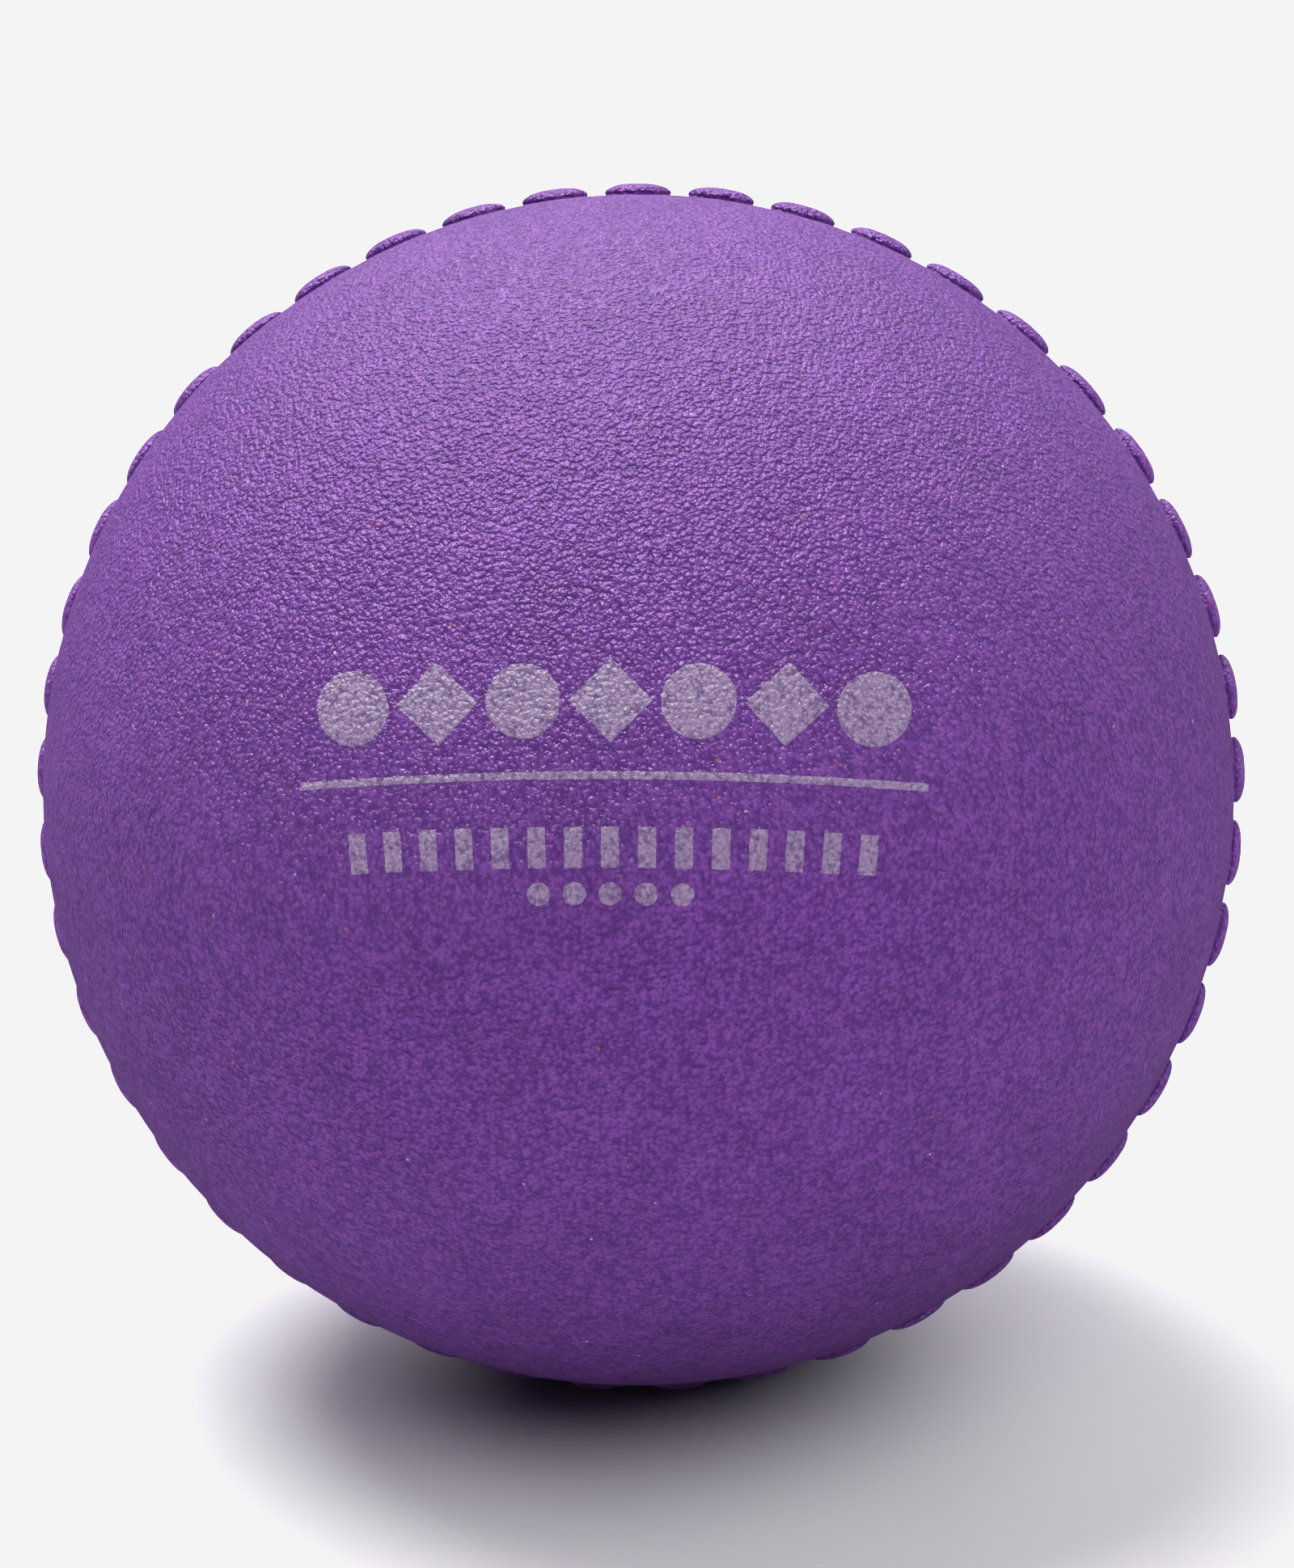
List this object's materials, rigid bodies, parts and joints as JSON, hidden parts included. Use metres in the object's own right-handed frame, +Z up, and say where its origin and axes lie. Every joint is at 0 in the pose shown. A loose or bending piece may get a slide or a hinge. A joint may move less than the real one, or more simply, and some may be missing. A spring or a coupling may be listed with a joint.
{
  "type": "foam play ball",
  "caption": "Soft moulded foam play ball: two bonded half shells over a foam core, a ring of raised grip discs over the joint and a plain printed mark.",
  "frame": {"origin": "centre of the ball, which is also the centre of its bounding box", "axes": "+Z up from the floor that the ball lies on, which is one ball radius below the origin; +Y away from the viewer of the printed half; +X across the ball, along its widest extent over the discs. The printed half faces -Y and leans back 13.8 degrees, so that the rear half and the two lowest discs touch the floor"},
  "size_m": [0.1534, 0.15, 0.1501],
  "materials": {
    "core_foam": "open-cell soft foam, matte",
    "shell_foam": "dense foam skin with a fine pebbled grain, satin",
    "bond": "flexible bond line, matte",
    "disc_foam": "dense foam with a fine pebbled grain, satin",
    "ink": "thin flexible printing ink, matte and slightly worn"
  },
  "bodies": {
    "root": {"foam_core": "core_foam", "front_shell": "shell_foam", "rear_shell": "shell_foam", "seam_bond": "bond", "grip_discs": "disc_foam", "printed_mark": "ink"}
  },
  "joints": []
}
